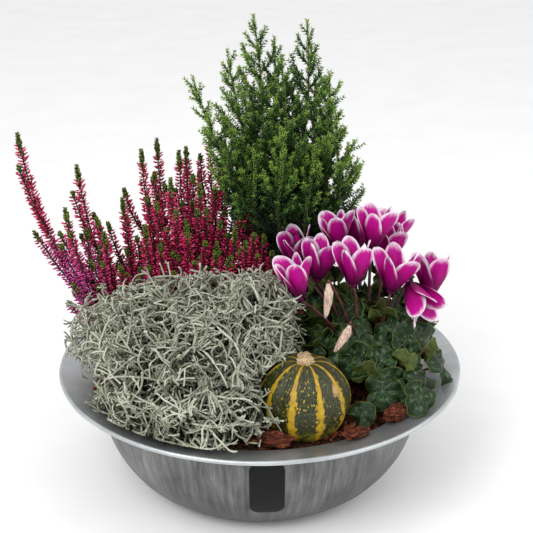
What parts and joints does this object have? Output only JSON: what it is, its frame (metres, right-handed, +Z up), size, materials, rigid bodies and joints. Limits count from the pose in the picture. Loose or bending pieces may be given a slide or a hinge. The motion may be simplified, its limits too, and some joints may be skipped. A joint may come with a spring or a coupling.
{
  "type": "planted metal bowl with heather, conifer, cushion bush, cyclamen and gourd",
  "caption": "Round zinc bowl with a wide rim, planted for autumn with a dwarf conifer, heather, silver cushion bush, cyclamen and a striped gourd on bark.",
  "frame": {"origin": "centre of the bowl's flat foot, on the surface that it stands on", "axes": "+Z up, +X to the right seen from the front, +Y from the front with the plate towards the conifer at the back"},
  "size_m": [0.4311, 0.399, 0.4536],
  "materials": {
    "zinc": "brushed, dull, with upright streaks",
    "black_plate": "satin, bare",
    "soil": "crumbly, dark, with flakes of bark",
    "bark": "torn, fibrous, reddish brown",
    "gourd": "smooth rind, dark green with yellow stripes and speckles",
    "gourd_stem": "dry, corky",
    "conifer": "fine needles, yellow-green at the tips and dark inside",
    "heather": "magenta buds with green shoot ends",
    "cushion_bush": "felted silver-grey wiry twigs",
    "stalks": "smooth, dark red-brown",
    "petals": "velvety magenta with white margins",
    "spent_petals": "withered, papery",
    "leaves": "waxy dark green, marbled, with a pale edge"
  },
  "bodies": {
    "root": {"bowl": "zinc", "plate": "black_plate", "soil": "soil", "gourd": "gourd", "gourd_stem": "gourd_stem", "cyclamen_stalks": "stalks", "conifer": "conifer", "cushion_bush": "cushion_bush", "bark_piece_01": "bark", "bark_piece_02": "bark", "bark_piece_03": "bark", "bark_piece_04": "bark", "cyclamen_bloom_01": "petals", "cyclamen_bloom_02": "petals", "cyclamen_bloom_03": "petals", "cyclamen_bloom_04": "petals", "cyclamen_bloom_05": "petals", "cyclamen_bloom_06": "petals", "cyclamen_bloom_07": "petals", "cyclamen_bloom_08": "petals", "cyclamen_bloom_09": "petals", "cyclamen_bloom_10": "petals", "cyclamen_bloom_11": "petals", "cyclamen_bloom_12": "petals", "spent_flower_01": "spent_petals", "spent_flower_02": "spent_petals", "cyclamen_leaf_01": "leaves", "cyclamen_leaf_02": "leaves", "cyclamen_leaf_03": "leaves", "cyclamen_leaf_04": "leaves", "cyclamen_leaf_05": "leaves", "cyclamen_leaf_06": "leaves", "cyclamen_leaf_07": "leaves", "cyclamen_leaf_08": "leaves", "cyclamen_leaf_09": "leaves", "cyclamen_leaf_10": "leaves", "cyclamen_leaf_11": "leaves", "cyclamen_leaf_12": "leaves", "cyclamen_leaf_13": "leaves", "heather_sprig_01": "heather", "heather_sprig_02": "heather", "heather_sprig_03": "heather", "heather_sprig_04": "heather", "heather_sprig_05": "heather", "heather_sprig_06": "heather", "heather_sprig_07": "heather", "heather_sprig_08": "heather", "heather_sprig_09": "heather", "heather_sprig_10": "heather", "heather_sprig_11": "heather", "heather_sprig_12": "heather", "heather_sprig_13": "heather", "heather_sprig_14": "heather", "heather_sprig_15": "heather", "heather_sprig_16": "heather"}
  },
  "joints": []
}
